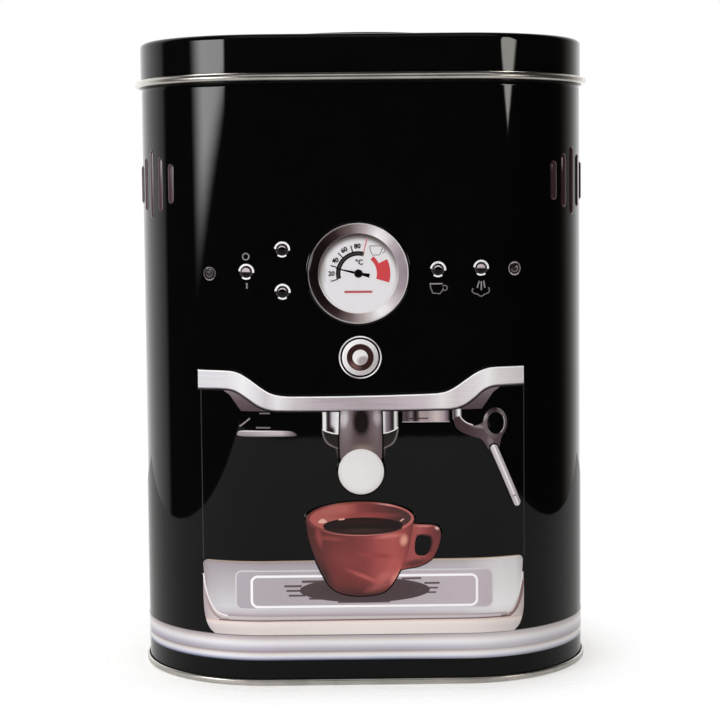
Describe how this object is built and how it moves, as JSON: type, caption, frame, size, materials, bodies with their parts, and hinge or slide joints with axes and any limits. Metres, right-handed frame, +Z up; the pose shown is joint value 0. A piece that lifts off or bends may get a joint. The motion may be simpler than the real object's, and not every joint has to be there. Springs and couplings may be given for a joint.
{
  "type": "coffee tin",
  "caption": "Tall tin with a rounded rectangular plan, an embossed front, a seamed bottom and a lift-off lid with a curled bead.",
  "frame": {"origin": "middle of the footprint, on the surface that the tin stands on", "axes": "+Z up through the lid, +X to the right as the embossed front is seen, -Y out of the embossed front"},
  "size_m": [0.142, 0.094, 0.1954],
  "materials": {
    "printed_lacquer": "black gloss lacquer with a printed picture",
    "black_lacquer": "black gloss lacquer",
    "bare_tinplate": "bare rolled tinplate"
  },
  "bodies": {
    "tin_body": {"body_wall": "printed_lacquer", "bottom_end": "bare_tinplate"},
    "lid": {"lid": "black_lacquer"}
  },
  "joints": [
    {"name": "lid_lift", "type": "slide", "parent": "tin_body", "child": "lid", "axis": [0, 0, 1], "range_m": [0, 0.06]}
  ]
}
